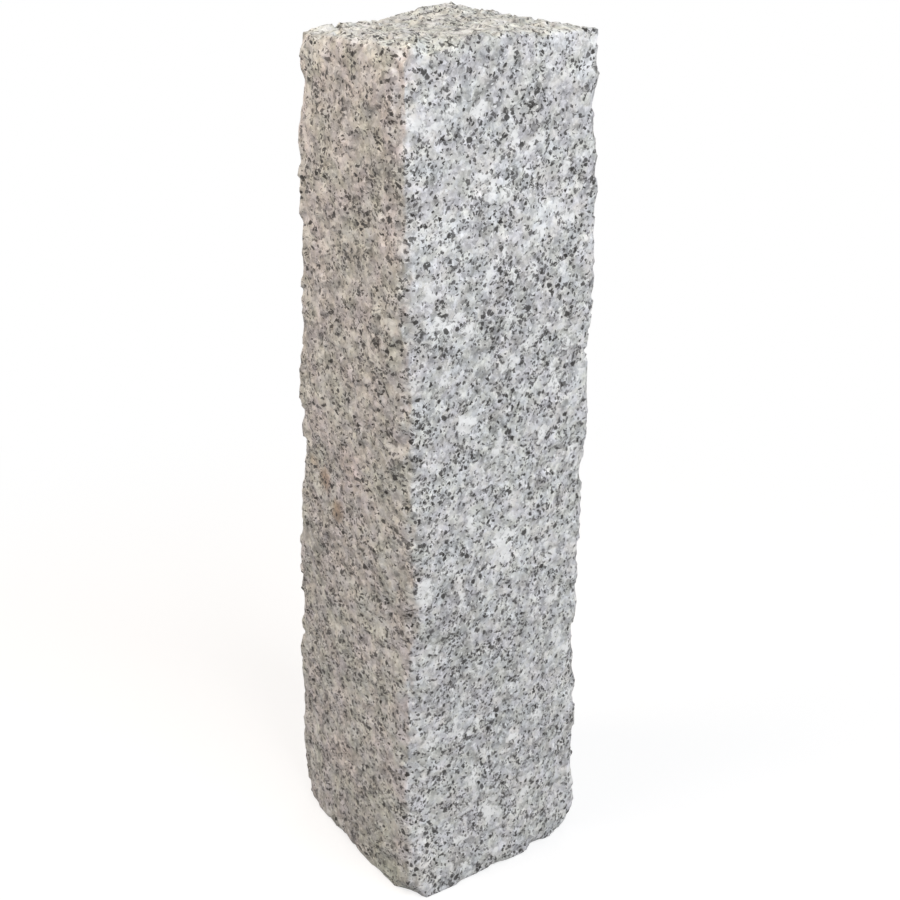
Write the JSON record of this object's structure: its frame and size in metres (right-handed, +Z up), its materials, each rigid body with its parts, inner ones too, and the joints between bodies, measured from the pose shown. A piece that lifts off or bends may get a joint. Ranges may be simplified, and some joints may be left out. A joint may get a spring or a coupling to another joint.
{
  "type": "stone palisade",
  "caption": "Upright square palisade of cleft natural granite, for edging a bed, a path or a terrace or holding a small step in the ground.",
  "frame": {"origin": "middle of the stone's box, on the bed that it stands on", "axes": "+Z up the stone from bed to head, +X across the front face to the right, front face towards -Y"},
  "size_m": [0.1352, 0.1398, 0.5005],
  "materials": {
    "granite": "rough cleft granite, unpolished"
  },
  "bodies": {
    "root": {"palisade": "granite"}
  },
  "joints": []
}
